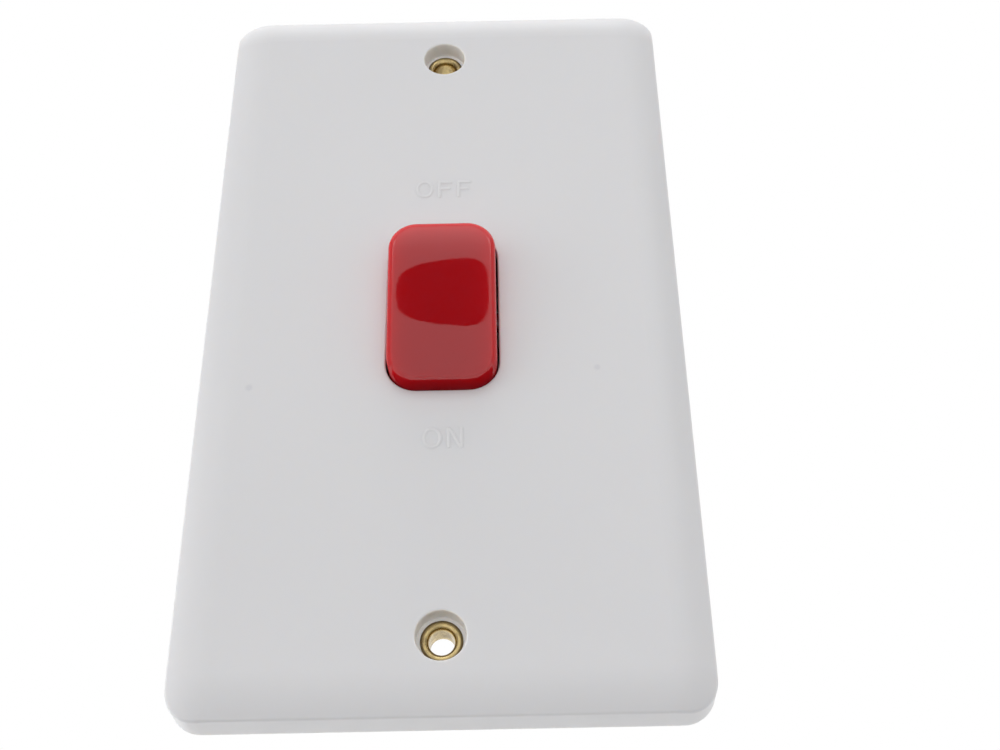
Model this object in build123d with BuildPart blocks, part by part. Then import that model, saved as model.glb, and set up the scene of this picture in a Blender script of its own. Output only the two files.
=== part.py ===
from build123d import *
import math
import os

# Double pole switch on a tall two-gang plate, in millimetres.
# X runs to the right seen from the front, Z up the plate and Y into the wall.
# The origin is the centre of the plate's rear rim, on the wall's surface, so a
# height h in front of the wall is at y = -h.

# Front plate
plate_w = 86.0
plate_len = 146.0
plate_rise = 8.1
plate_corner_r = 5.5
plate_edge_r = 0.7
shoulder_w = 7.0
shoulder_drop = 1.94
crown_corner = 0.5
wall_draft = 3.3
plate_web = 3.0
plate_rim = 2.4
mouth_r = 0.3
rib_t = 1.4
rib_rise = 1.5

# Wall fixings: a screw well in the plate and a brass bush below it
fixing_inset = 12.7
well_d = 8.07
well_depth = 3.4
bush_rim_d = 6.9
bush_crest_d = 5.6
bush_crest_h = 0.35
bush_throat_d = 4.1
bush_throat_drop = 0.75
bush_shank_d = 5.3
bush_fit = 0.05
tower_wall = 1.8

# Rocker and its bearing
aperture_w = 19.9
aperture_len = 33.2
aperture_r = 5.5
rocker_side_gap = 0.38
rocker_end_gap = 0.285
rocker_tilt = 5.5
pivot_depth = 5.0
rocker_rise = 4.85
rocker_crown = 0.5
rocker_edge_r = 1.2
rocker_wall = 1.8
rocker_roof = 3.15
rocker_rib_t = 1.4
skirt_end = 2.0
ear_half = 4.0
ear_drop = 2.4
trunnion_d = 3.5
trunnion_len = 2.9
trunnion_fit = 0.07
cheek_gap = 0.8
cheek_t = 2.5
cheek_len = 11.0

# Spring plungers in the rocker
pole_spacing = 10.0
plunger_d = 4.0
plunger_fit = 0.1
plunger_reach = 10.0
plunger_cup_d = 3.0
plunger_cup_floor = 5.0
sleeve_wall = 0.9
sleeve_reach = 5.0
spring_wire = 0.5
spring_turns = 6
spring_gap = 0.2

# Moving contacts, which see-saw on the supply strips
blade_w = 6.0
blade_t = 1.5
blade_up = 11.25
blade_down = 7.0
blade_swing = 9.5
blade_end_r = 1.2
blade_cover = 0.7
fulcrum_r = 1.0
fulcrum_fit = 0.05
plunger_clear = 0.1
tip_at = 9.0
tip_d = 4.5
tip_h = 1.2
tip_rivet_d = 2.0
rivet_fit = 0.05
dome_r = 6.0
contact_clear = 0.1

# Brass strips and terminals
strip_t = 1.5
strip_end = 1.5
terminal_w = 11.0
terminal_len = 13.0
terminal_depth = 11.0
terminal_chamfer = 0.6
tunnel_d = 6.6
tunnel_cover = 1.7
pinch_pitch = 6.6
pinch_d = 4.0
pinch_head_d = 5.0
pinch_head_h = 2.2
pinch_head_lift = 0.5
pinch_short = 0.3
head_edge = 0.4
thread_fit = 0.05
slot_w = 0.9
slot_depth = 1.0

# Switch body behind the plate
body_wall = 1.6
body_end_wall = 2.5
body_back = 3.1
body_corner_r = 2.0
body_back_r = 1.0
body_web_gap = 0.2
chamber_side = 1.6
chamber_end = 0.9
barrier_t = 2.4
barrier_low = 1.0
pole_clear = 0.8
seat_gap = 0.1
pocket_gap = 0.2
entry_gap = 0.4
access_gap = 0.4
hole_lead = 0.3
entry_lead = 0.8
post_slack = 0.2
panel_margin = 3.0
panel_depth = 0.6

# Screws that hold the body to the plate
boss_x = 30.0
boss_z = 14.0
boss_d = 7.0
boss_floor = 1.0
ear_t = 3.0
ear_r = 4.0
gusset_t = 1.6
gusset_out = 6.0
gusset_back = 6.0
hold_screw_d = 2.6
hold_fit = 0.05
hold_clear = 0.4
hold_head_d = 5.6
hold_head_h = 2.0
hold_head_r = 1.2

# Earth terminal and the strap to the lower bush
strap_t = 0.8
strap_rear_gap = 0.2
strap_half_w = 4.6
earth_x = -22.0
earth_up = 14.3
earth_w = 8.0
earth_depth = 9.0
earth_len = 10.0
earth_bore_d = 4.4
earth_bore_cover = 2.0
earth_spigot_d = 3.4
earth_spigot_len = 4.0
earth_screw_d = 3.5
earth_head_d = 5.0
earth_head_h = 1.8

# Crowned shoulder: an arc from the flat front down to the top of the drafted wall
crease_h = plate_rise - shoulder_drop
crown_run = shoulder_w - crease_h * math.tan(math.radians(wall_draft))
crown_r = (crown_run**2 + shoulder_drop**2) / (2 * shoulder_drop)
crown_over = crown_r - shoulder_w

# Levels in front of the wall
inner_h = plate_rise - plate_web
seat_h = plate_rise - well_depth
foot_h = strap_t + strap_rear_gap
pivot_h = plate_rise - pivot_depth
body_front_h = inner_h - body_web_gap
fixing_z = plate_len / 2 - fixing_inset
earth_z = earth_up - fixing_z

# Rocker frame: a stands off the face, b runs up its length
tilt_sin = math.sin(math.radians(rocker_tilt))
tilt_cos = math.cos(math.radians(rocker_tilt))
tilt_tan = math.tan(math.radians(rocker_tilt))
face_dir = (0, -tilt_cos, -tilt_sin)
length_dir = (0, -tilt_sin, tilt_cos)
pivot = (0, -pivot_h, 0)
rocker_side = Plane(origin=pivot, x_dir=length_dir, z_dir=(1, 0, 0))
rocker_face = Plane(origin=pivot, x_dir=(1, 0, 0), z_dir=face_dir)
rocker_w = aperture_w - 2 * rocker_side_gap
rocker_half = (aperture_len / 2 - rocker_end_gap - pivot_depth * tilt_tan) * tilt_cos
rocker_corner_r = aperture_r - rocker_side_gap
rim_a = pivot_depth + rocker_rise
crest_a = rim_a + rocker_crown
roof_a = rim_a - rocker_roof
pole_x = pole_spacing / 2
sleeve_d = plunger_d + 2 * plunger_fit + 2 * sleeve_wall

# Contact frame: the blade's pivot and its lean in the closed position
swing_sin = math.sin(math.radians(blade_swing))
swing_cos = math.cos(math.radians(blade_swing))
groove_r = fulcrum_r + fulcrum_fit
blade_front = groove_r + blade_cover
blade_rear = blade_front - blade_t
blade_y = plunger_reach - pivot_h + plunger_clear + blade_front
blade_dir = (0, swing_sin, swing_cos)

# The closed moving tip's face, and the fixed tip's dome that meets it
tip_face_y = blade_y + (tip_h - blade_rear) * swing_cos + tip_at * swing_sin
tip_face_z = tip_at * swing_cos - (tip_h - blade_rear) * swing_sin
dome_y = tip_face_y + (contact_clear + dome_r) * swing_cos
fixed_z = tip_face_z - (contact_clear + dome_r) * swing_sin
fixed_apex_y = dome_y - dome_r

# Levels behind the wall
strip_front_y = fixed_apex_y + tip_h
strip_back_y = strip_front_y + strip_t
floor_y = strip_back_y + seat_gap
back_y = floor_y + body_back
block_front_y = strip_front_y - terminal_depth
tunnel_y = block_front_y + tunnel_cover + tunnel_d / 2

# Plan of the switch body
barrier_half = barrier_t / 2
terminal_in = barrier_half + pole_clear
terminal_x = terminal_in + terminal_w / 2
cheek_in = rocker_w / 2 + cheek_gap
cheek_out = cheek_in + cheek_t
inner_half_w = max(cheek_out + chamber_side, terminal_in + terminal_w + pocket_gap)
body_w = 2 * (inner_half_w + body_wall)
chamber_half = aperture_len / 2 + chamber_end
pocket_z = chamber_half + body_wall
terminal_low = pocket_z + pocket_gap
terminal_high = terminal_low + terminal_len
terminal_z = (terminal_low + terminal_high) / 2
inner_half_len = terminal_high + pocket_gap
body_len = 2 * (inner_half_len + body_end_wall)
blade_edge = pole_x + blade_w / 2
load_low = fixed_z - tip_d / 2

sides = {"left": -1, "right": 1}
ends = {"supply": -1, "load": 1}
pinch_spots = [
    (side * terminal_x, end * terminal_z + row * pinch_pitch / 2)
    for side in sides.values()
    for end in ends.values()
    for row in (-1, 1)
]


def turned_plane(x: float, z: float) -> Plane:
    """Plane for a turned profile: radius to the right, height towards the front."""
    return Plane(origin=(x, 0, z), x_dir=(1, 0, 0), z_dir=(0, 0, -1))


def turned_axis(x: float, z: float) -> Axis:
    """Axis of a turned piece that points at the wall."""
    return Axis((x, 0, z), (0, 1, 0))


os.makedirs("parts", exist_ok=True)


# Front plate: a shallow tray with crowned shoulders and a drafted wall
with BuildPart() as front_plate:
    # A wider blank gives the crown, and the drafted outline keeps only its start
    with BuildSketch(Plane.XZ.offset(plate_rise - 2 * crown_r)):
        RectangleRounded(
            plate_w + 2 * crown_over, plate_len + 2 * crown_over, crown_r + crown_corner
        )
    extrude(amount=2 * crown_r)
    fillet(front_plate.faces().sort_by(Axis.Y)[0].edges(), crown_r)
    with BuildSketch(Plane.XZ):
        RectangleRounded(plate_w, plate_len, plate_corner_r)
    extrude(amount=plate_rise, taper=wall_draft, mode=Mode.INTERSECT)
    crease = front_plate.edges().filter_by_position(Axis.Y, -crease_h - plate_edge_r, -inner_h)
    fillet(crease, plate_edge_r)
    with BuildSketch(Plane.XZ):
        RectangleRounded(
            plate_w - 2 * plate_rim, plate_len - 2 * plate_rim, plate_corner_r - plate_rim
        )
    extrude(amount=inner_h, mode=Mode.SUBTRACT)
    # Low stiffening ribs through the bosses and the fixing towers
    with BuildSketch(Plane.XZ.offset(inner_h - rib_rise)):
        with Locations((-boss_x, 0), (boss_x, 0)):
            Rectangle(rib_t, plate_len - plate_rim)
        with Locations((0, -fixing_z), (0, fixing_z)):
            Rectangle(plate_w - plate_rim, rib_t)
    extrude(amount=rib_rise)
    # Fixing towers, screw bosses and the earth terminal's pillar
    with BuildSketch(Plane.XZ.offset(foot_h)):
        with Locations((0, -fixing_z), (0, fixing_z)):
            Circle(well_d / 2 + tower_wall)
        with Locations((earth_x, earth_z)):
            Circle(strap_half_w)
    extrude(amount=inner_h - foot_h)
    with BuildSketch(Plane.XZ):
        with GridLocations(2 * boss_x, 2 * boss_z, 2, 2):
            Circle(boss_d / 2)
        # Bearing cheeks beside the aperture
        with GridLocations(cheek_in + cheek_out, 0, 2, 1):
            Rectangle(cheek_t, cheek_len)
    extrude(amount=inner_h)
    # Fingers that hold the terminal blocks down
    with BuildSketch(Plane.XZ.offset(seat_gap - block_front_y)):
        with GridLocations(2 * terminal_x, 2 * terminal_z, 2, 2):
            Rectangle(terminal_w / 2, rib_t)
    extrude(amount=inner_h + block_front_y - seat_gap)
    # Rocker aperture and the open bearing slots for the trunnions
    with BuildSketch(Plane.XZ.offset(inner_h)):
        RectangleRounded(aperture_w, aperture_len, aperture_r)
    extrude(amount=plate_web, mode=Mode.SUBTRACT)
    with BuildSketch(Plane.YZ):
        with Locations((-pivot_h, 0)):
            Circle(trunnion_d / 2 + trunnion_fit)
        with Locations((-pivot_h / 2, 0)):
            Rectangle(pivot_h, trunnion_d + 2 * trunnion_fit)
    extrude(amount=cheek_out, both=True, mode=Mode.SUBTRACT)
    # Screw wells, the bushes' holes, pilot holes and the spigot's hole
    with BuildSketch(Plane.XZ.offset(seat_h)):
        with Locations((0, -fixing_z), (0, fixing_z)):
            Circle(well_d / 2)
    extrude(amount=well_depth, mode=Mode.SUBTRACT)
    with BuildSketch(Plane.XZ):
        with Locations((0, -fixing_z), (0, fixing_z)):
            Circle(bush_shank_d / 2 + bush_fit)
    extrude(amount=seat_h, mode=Mode.SUBTRACT)
    with BuildSketch(Plane.XZ):
        with GridLocations(2 * boss_x, 2 * boss_z, 2, 2):
            Circle(hold_screw_d / 2 + hold_fit)
        with Locations((earth_x, earth_z)):
            Circle(earth_spigot_d / 2 + bush_fit)
    extrude(amount=inner_h, mode=Mode.SUBTRACT)
    front_face = front_plate.faces().sort_by(Axis.Y)[0]
    fillet(front_face.inner_wires().edges(), mouth_r)
front_plate.part.label = "front_plate"
export_step(front_plate.part, "parts/front_plate.step")

# Switch body: a deep box with two pole chambers and four terminal pockets
with BuildPart() as switch_body:
    with BuildSketch(Plane.XZ.offset(-back_y)):
        RectangleRounded(body_w, body_len, body_corner_r)
    extrude(amount=back_y + body_front_h)
    fillet(switch_body.faces().sort_by(Axis.Y)[-1].edges(), body_back_r)
    # Ears under the plate's screw bosses
    with BuildSketch(Plane.XZ.offset(-ear_t)):
        with Locations((0, -boss_z), (0, boss_z)):
            SlotCenterToCenter(2 * boss_x, 2 * ear_r)
    extrude(amount=ear_t)
    # Gussets that brace the ears against the box
    for z in (-boss_z, boss_z):
        with BuildSketch(Plane.XY.offset(z - gusset_t / 2)):
            with BuildLine():
                Polyline(
                    (-body_w / 2 - gusset_out, ear_t),
                    (body_w / 2 + gusset_out, ear_t),
                    (body_w / 2, ear_t + gusset_back),
                    (-body_w / 2, ear_t + gusset_back),
                    close=True,
                )
            make_face()
        extrude(amount=gusset_t)
    with BuildSketch(Plane.XZ.offset(-floor_y)):
        Rectangle(2 * inner_half_w, 2 * inner_half_len)
    extrude(amount=floor_y + body_front_h, mode=Mode.SUBTRACT)
    # Barrier between the poles, low under the rocker and tall by the terminals
    with BuildSketch(Plane.XZ.offset(-floor_y)):
        Rectangle(barrier_t, 2 * inner_half_len)
    extrude(amount=floor_y - barrier_low)
    with BuildSketch(Plane.XZ.offset(-barrier_low)):
        with GridLocations(0, chamber_half + inner_half_len, 1, 2):
            Rectangle(barrier_t, inner_half_len - chamber_half)
    extrude(amount=barrier_low + body_front_h)
    # Cross walls over the strips, and posts that close the bearing slots
    with BuildSketch(Plane.XZ.offset(seat_gap - strip_front_y)):
        with GridLocations(0, chamber_half + pocket_z, 1, 2):
            Rectangle(2 * inner_half_w, body_wall)
    extrude(amount=strip_front_y - seat_gap + body_front_h)
    with BuildSketch(Plane.XZ.offset(-floor_y)):
        with GridLocations(cheek_in + trunnion_fit + inner_half_w, 0, 2, 1):
            Rectangle(inner_half_w - cheek_in - trunnion_fit, trunnion_d - 2 * post_slack)
    extrude(amount=floor_y + pivot_h - trunnion_d / 2 - trunnion_fit)
    # Cable entries at both ends, screw access in the back and holes in the ears
    with BuildSketch(Plane.XY.offset(-body_len / 2)):
        with Locations((-terminal_x, tunnel_y), (terminal_x, tunnel_y)):
            Circle(tunnel_d / 2 + entry_gap)
    extrude(amount=body_end_wall, mode=Mode.SUBTRACT)
    with BuildSketch(Plane.XY.offset(inner_half_len)):
        with Locations((-terminal_x, tunnel_y), (terminal_x, tunnel_y)):
            Circle(tunnel_d / 2 + entry_gap)
    extrude(amount=body_end_wall, mode=Mode.SUBTRACT)
    chamfer(switch_body.faces().sort_by(Axis.Z)[0].inner_wires().edges(), entry_lead)
    chamfer(switch_body.faces().sort_by(Axis.Z)[-1].inner_wires().edges(), entry_lead)
    with BuildSketch(Plane.XZ.offset(-back_y)):
        with Locations(*pinch_spots):
            Circle(pinch_head_d / 2 + access_gap)
    extrude(amount=body_back, mode=Mode.SUBTRACT)
    chamfer(switch_body.faces().sort_by(Axis.Y)[-1].inner_wires().edges(), hole_lead)
    with BuildSketch(Plane.XZ.offset(-ear_t)):
        with GridLocations(2 * boss_x, 2 * boss_z, 2, 2):
            Circle(hold_screw_d / 2 + hold_clear)
    extrude(amount=ear_t, mode=Mode.SUBTRACT)
    # Shallow panel sunk in the middle of the back
    with BuildSketch(Plane.XZ.offset(-back_y)):
        RectangleRounded(
            body_w - 2 * panel_margin, 2 * (chamber_half - panel_margin), body_corner_r
        )
    extrude(amount=panel_depth, mode=Mode.SUBTRACT)
switch_body.part.label = "switch_body"
export_step(switch_body.part, "parts/switch_body.step")

# Rocker: a crowned cap with a deep skirt, two sleeves and two trunnions
with BuildPart() as rocker:
    with BuildSketch(rocker_side):
        with BuildLine():
            ThreePointArc((-rocker_half, rim_a), (0, crest_a), (rocker_half, rim_a))
            Polyline(
                (rocker_half, rim_a),
                (rocker_half, skirt_end),
                (ear_half, -ear_drop),
                (-ear_half, -ear_drop),
                (-rocker_half, skirt_end),
                (-rocker_half, rim_a),
            )
        make_face()
    extrude(amount=rocker_w / 2, both=True)
    fillet(rocker.edges().filter_by(Axis(pivot, face_dir)), rocker_corner_r)
    fillet(rocker.faces().sort_by(Axis(pivot, face_dir))[-1].edges(), rocker_edge_r)
    with BuildSketch(rocker_face.offset(-ear_drop)):
        RectangleRounded(
            rocker_w - 2 * rocker_wall,
            2 * (rocker_half - rocker_wall),
            rocker_corner_r - rocker_wall,
        )
    extrude(amount=ear_drop + roof_a, mode=Mode.SUBTRACT)
    # Sleeves for the plungers, tied together and to the end walls by ribs
    with BuildSketch(rocker_face.offset(-sleeve_reach)):
        with GridLocations(pole_spacing, 0, 2, 1):
            Circle(sleeve_d / 2)
    extrude(amount=sleeve_reach + roof_a)
    with BuildSketch(rocker_face.offset(skirt_end)):
        Rectangle(pole_spacing, rocker_rib_t)
        with GridLocations(pole_spacing, 0, 2, 1):
            Rectangle(rocker_rib_t, 2 * rocker_half - rocker_wall)
    extrude(amount=roof_a - skirt_end)
    with BuildSketch(rocker_face.offset(-sleeve_reach)):
        with GridLocations(pole_spacing, 0, 2, 1):
            Circle(plunger_d / 2 + plunger_fit)
    extrude(amount=sleeve_reach + roof_a, mode=Mode.SUBTRACT)
    for side in sides.values():
        with BuildSketch(Plane.YZ.offset(side * (rocker_w / 2 - rocker_wall))):
            with Locations((-pivot_h, 0)):
                Circle(trunnion_d / 2)
        extrude(amount=side * (rocker_wall + trunnion_len))
rocker.part.label = "rocker"
export_step(rocker.part, "parts/rocker.step")

for name, side in sides.items():
    # Plunger: a round-nosed cup that slides in the rocker's sleeve
    sleeve_foot = (side * pole_x, -pivot_h, 0)
    sleeve_axis = Axis(sleeve_foot, face_dir)
    nose_a = plunger_d / 2 - plunger_reach
    with BuildPart() as plunger:
        profile = Plane(origin=sleeve_foot, x_dir=(1, 0, 0), z_dir=(0, tilt_sin, -tilt_cos))
        with BuildSketch(profile):
            with BuildLine():
                RadiusArc((0, -plunger_reach), (plunger_d / 2, nose_a), -plunger_d / 2)
                Polyline(
                    (plunger_d / 2, nose_a),
                    (plunger_d / 2, 0),
                    (plunger_cup_d / 2, 0),
                    (plunger_cup_d / 2, -plunger_cup_floor),
                    (0, -plunger_cup_floor),
                    (0, -plunger_reach),
                )
            make_face()
        revolve(axis=sleeve_axis)
    plunger.part.label = f"{name}_plunger"
    export_step(plunger.part, f"parts/{name}_plunger.step")

    # Spring: from the plunger's cup to the roof of the sleeve
    coil_r = plunger_cup_d / 2 - spring_gap - spring_wire / 2
    coil_end = spring_gap + spring_wire / 2
    coil_len = plunger_cup_floor + roof_a - 2 * coil_end
    coil_plane = rocker_face.offset(coil_end - plunger_cup_floor)
    coil_start = coil_plane.from_local_coords((side * pole_x, 0, 0))
    with BuildPart() as spring:
        with BuildLine():
            coil = Helix(coil_len / spring_turns, coil_len, coil_r, coil_start, face_dir)
        with BuildSketch(Plane(origin=coil @ 0, z_dir=coil % 0)):
            Circle(spring_wire / 2)
        sweep(path=coil, is_frenet=True)
    spring.part.label = f"{name}_plunger_spring"
    export_step(spring.part, f"parts/{name}_plunger_spring.step")

    # Moving contact: a copper blade grooved for the fulcrum, leaning closed
    blade_pivot = (side * pole_x, blade_y, 0)
    blade_side = Plane(origin=blade_pivot, x_dir=blade_dir, z_dir=(1, 0, 0))
    tip_plane = Plane(
        origin=blade_side.from_local_coords((tip_at, blade_rear, 0)),
        x_dir=(1, 0, 0),
        z_dir=(0, swing_cos, -swing_sin),
    )
    with BuildPart() as blade:
        with BuildSketch(blade_side):
            with Locations(((blade_up - blade_down) / 2, (blade_front + blade_rear) / 2)):
                Rectangle(blade_up + blade_down, blade_t)
            Circle(groove_r, mode=Mode.SUBTRACT)
        extrude(amount=blade_w / 2, both=True)
        corners = blade.edges().filter_by(Axis(blade_pivot, tip_plane.z_dir))
        fillet(corners, blade_end_r)
        with BuildSketch(tip_plane):
            Circle(tip_rivet_d / 2 + rivet_fit)
        extrude(amount=-blade_t, mode=Mode.SUBTRACT)
    blade.part.label = f"{name}_moving_contact"
    export_step(blade.part, f"parts/{name}_moving_contact.step")

    # Moving tip: a silver rivet through the blade
    with BuildPart() as moving_tip:
        with BuildSketch(tip_plane):
            Circle(tip_d / 2)
        extrude(amount=tip_h)
        with BuildSketch(tip_plane):
            Circle(tip_rivet_d / 2)
        extrude(amount=-blade_t)
    moving_tip.part.label = f"{name}_moving_tip"
    export_step(moving_tip.part, f"parts/{name}_moving_tip.step")

    # Fixed tip: a domed silver rivet through the load strip
    dome_edge = dome_y - math.sqrt(dome_r**2 - (tip_d / 2) ** 2)
    with BuildPart() as fixed_tip:
        with BuildSketch(turned_plane(side * pole_x, fixed_z)):
            with BuildLine():
                RadiusArc((tip_d / 2, -dome_edge), (0, -fixed_apex_y), -dome_r)
                Polyline(
                    (0, -fixed_apex_y),
                    (0, -strip_back_y),
                    (tip_rivet_d / 2, -strip_back_y),
                    (tip_rivet_d / 2, -strip_front_y),
                    (tip_d / 2, -strip_front_y),
                    (tip_d / 2, -dome_edge),
                )
            make_face()
        revolve(axis=turned_axis(side * pole_x, fixed_z))
    fixed_tip.part.label = f"{name}_fixed_tip"
    export_step(fixed_tip.part, f"parts/{name}_fixed_tip.step")

    # Strips: flat brass under a terminal block, narrowed to the blade's width
    for end_name, end in ends.items():
        strip_tip = load_low if end > 0 else strip_end
        with BuildPart() as strip:
            with BuildSketch(Plane.XZ.offset(-strip_back_y)):
                with BuildLine():
                    Polyline(
                        (side * terminal_in, strip_tip),
                        (side * blade_edge, strip_tip),
                        (side * blade_edge, end * terminal_low),
                        (side * (terminal_in + terminal_w), end * terminal_low),
                        (side * (terminal_in + terminal_w), end * terminal_high),
                        (side * terminal_in, end * terminal_high),
                        close=True,
                    )
                make_face()
                with Locations((side * terminal_x, end * terminal_z)):
                    with GridLocations(0, pinch_pitch, 1, 2):
                        Circle(pinch_d / 2 + thread_fit, mode=Mode.SUBTRACT)
                if end > 0:
                    with Locations((side * pole_x, fixed_z)):
                        Circle(tip_rivet_d / 2 + rivet_fit, mode=Mode.SUBTRACT)
            extrude(amount=strip_t)
            if end < 0:
                # Upstand with the rounded ridge that the blade rocks on
                with BuildSketch(Plane.YZ.offset(side * pole_x)):
                    with Locations((blade_y, 0)):
                        Circle(fulcrum_r)
                    with Locations(((blade_y + strip_front_y) / 2, 0)):
                        Rectangle(strip_front_y - blade_y, 2 * fulcrum_r)
                extrude(amount=blade_w / 2, both=True)
        strip.part.label = f"{name}_{end_name}_strip"
        export_step(strip.part, f"parts/{name}_{end_name}_strip.step")

        # Terminal block: a brass cube with a cable tunnel and two tapped holes
        with BuildPart() as block:
            with BuildSketch(Plane.XZ.offset(-strip_front_y)):
                with Locations((side * terminal_x, end * terminal_z)):
                    Rectangle(terminal_w, terminal_len)
            extrude(amount=terminal_depth)
            chamfer(block.edges().filter_by(Axis.Z), terminal_chamfer)
            with BuildSketch(Plane.XY.offset(end * terminal_z)):
                with Locations((side * terminal_x, tunnel_y)):
                    Circle(tunnel_d / 2)
            extrude(amount=terminal_len / 2, both=True, mode=Mode.SUBTRACT)
            with BuildSketch(Plane.XZ.offset(-strip_front_y)):
                with Locations((side * terminal_x, end * terminal_z)):
                    with GridLocations(0, pinch_pitch, 1, 2):
                        Circle(pinch_d / 2 + thread_fit)
            extrude(amount=strip_front_y - tunnel_y, mode=Mode.SUBTRACT)
        block.part.label = f"{name}_{end_name}_terminal"
        export_step(block.part, f"parts/{name}_{end_name}_terminal.step")

# Terminal screws, their tips just short of the cable tunnels
pinch_tip_y = tunnel_y + tunnel_d / 2 + pinch_short
pinch_neck_y = strip_back_y + pinch_head_lift
with BuildPart() as terminal_screws:
    with BuildSketch(Plane.XZ.offset(-pinch_neck_y)):
        with Locations(*pinch_spots):
            Circle(pinch_d / 2)
    extrude(amount=pinch_neck_y - pinch_tip_y)
    with BuildSketch(Plane.XZ.offset(-pinch_neck_y - pinch_head_h)):
        with Locations(*pinch_spots):
            Circle(pinch_head_d / 2)
    extrude(amount=pinch_head_h)
    chamfer(terminal_screws.faces().group_by(Axis.Y)[-1].edges(), head_edge)
    with BuildSketch(Plane.XZ.offset(-pinch_neck_y - pinch_head_h)):
        with Locations(*pinch_spots):
            Rectangle(pinch_head_d, slot_w)
    extrude(amount=slot_depth, mode=Mode.SUBTRACT)
terminal_screws.part.label = "terminal_screws"
export_step(terminal_screws.part, "parts/terminal_screws.step")

# Screws through the body's ears into the plate's bosses
with BuildPart() as body_screws:
    with BuildSketch(Plane.XZ.offset(-ear_t)):
        with GridLocations(2 * boss_x, 2 * boss_z, 2, 2):
            Circle(hold_screw_d / 2)
    extrude(amount=ear_t + inner_h - boss_floor)
    with BuildSketch(Plane.XZ.offset(-ear_t - hold_head_h)):
        with GridLocations(2 * boss_x, 2 * boss_z, 2, 2):
            Circle(hold_head_d / 2)
    extrude(amount=hold_head_h)
    fillet(body_screws.faces().group_by(Axis.Y)[-1].edges(), hold_head_r)
    with BuildSketch(Plane.XZ.offset(-ear_t - hold_head_h)):
        with GridLocations(2 * boss_x, 2 * boss_z, 2, 2):
            Rectangle(hold_head_d, slot_w)
    extrude(amount=slot_depth, mode=Mode.SUBTRACT)
body_screws.part.label = "body_screws"
export_step(body_screws.part, "parts/body_screws.step")

# Fixing bushes: brass eyelets with a rolled rim that sits on the well's floor
throat_h = seat_h - bush_throat_drop
for name, z in {"upper": fixing_z, "lower": -fixing_z}.items():
    with BuildPart() as bush:
        with BuildSketch(turned_plane(0, z)):
            with BuildLine():
                Polyline(
                    (bush_throat_d / 2, throat_h),
                    (bush_throat_d / 2, 0),
                    (bush_shank_d / 2, 0),
                    (bush_shank_d / 2, seat_h),
                    (bush_rim_d / 2, seat_h),
                )
                EllipticalCenterArc(
                    (bush_crest_d / 2, seat_h),
                    (bush_rim_d - bush_crest_d) / 2,
                    bush_crest_h,
                    start_angle=0,
                    arc_size=90,
                )
                EllipticalCenterArc(
                    (bush_crest_d / 2, throat_h),
                    (bush_crest_d - bush_throat_d) / 2,
                    bush_crest_h + bush_throat_drop,
                    start_angle=90,
                    arc_size=90,
                )
            make_face()
        revolve(axis=turned_axis(0, z))
    bush.part.label = f"{name}_fixing_bush"
    export_step(bush.part, f"parts/{name}_fixing_bush.step")

# Earth strap: a flat link from the lower bush to the earth terminal
with BuildPart() as earth_strap:
    with BuildSketch(Plane.XZ.offset(strap_rear_gap)):
        with Locations((0, -fixing_z), (earth_x, earth_z)):
            Circle(strap_half_w)
        make_hull()
        with Locations((0, -fixing_z)):
            Circle(bush_shank_d / 2 + bush_fit, mode=Mode.SUBTRACT)
        with Locations((earth_x, earth_z)):
            Circle(earth_spigot_d / 2 + bush_fit, mode=Mode.SUBTRACT)
    extrude(amount=strap_t)
earth_strap.part.label = "earth_strap"
export_step(earth_strap.part, "parts/earth_strap.step")

# Earth terminal: a brass block on the strap with a spigot in the plate's pillar
earth_back_y = earth_depth - strap_rear_gap
earth_bore_y = earth_bore_cover + earth_bore_d / 2 - strap_rear_gap
with BuildPart() as earth_terminal:
    with BuildSketch(Plane.XZ.offset(-earth_back_y)):
        with Locations((earth_x, earth_z)):
            Rectangle(earth_w, earth_len)
    extrude(amount=earth_depth)
    chamfer(earth_terminal.edges().filter_by(Axis.Z), terminal_chamfer)
    with BuildSketch(Plane.XZ.offset(strap_rear_gap)):
        with Locations((earth_x, earth_z)):
            Circle(earth_spigot_d / 2)
    extrude(amount=earth_spigot_len)
    with BuildSketch(Plane.XY.offset(earth_z)):
        with Locations((earth_x, earth_bore_y)):
            Circle(earth_bore_d / 2)
    extrude(amount=earth_len / 2, both=True, mode=Mode.SUBTRACT)
    with BuildSketch(Plane.XZ.offset(-earth_back_y)):
        with Locations((earth_x, earth_z)):
            Circle(earth_screw_d / 2 + thread_fit)
    extrude(amount=earth_back_y - earth_bore_y, mode=Mode.SUBTRACT)
earth_terminal.part.label = "earth_terminal"
export_step(earth_terminal.part, "parts/earth_terminal.step")

# Earth screw, its tip just short of the earth bore
earth_neck_y = earth_back_y + pinch_head_lift
earth_tip_y = earth_bore_y + earth_bore_d / 2 + pinch_short
with BuildPart() as earth_screw:
    with BuildSketch(Plane.XZ.offset(-earth_neck_y)):
        with Locations((earth_x, earth_z)):
            Circle(earth_screw_d / 2)
    extrude(amount=earth_neck_y - earth_tip_y)
    with BuildSketch(Plane.XZ.offset(-earth_neck_y - earth_head_h)):
        with Locations((earth_x, earth_z)):
            Circle(earth_head_d / 2)
    extrude(amount=earth_head_h)
    chamfer(earth_screw.faces().sort_by(Axis.Y)[-1].edges(), head_edge)
    with BuildSketch(Plane.XZ.offset(-earth_neck_y - earth_head_h)):
        with Locations((earth_x, earth_z)):
            Rectangle(earth_head_d, slot_w)
    extrude(amount=slot_depth, mode=Mode.SUBTRACT)
earth_screw.part.label = "earth_screw"
export_step(earth_screw.part, "parts/earth_screw.step")
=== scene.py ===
"""Looks of a double pole switch: finishes, raised words, studio light and camera.

Lengths are in metres in the part's own frame: X to the right seen from the
front, Z up the plate, Y into the wall, with the wall's surface at Y = 0.
"""

import logging
import math
from collections.abc import Sequence
from dataclasses import dataclass, replace
from enum import Enum

import bpy
import numpy as np
from mathutils import Matrix, Vector


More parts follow.
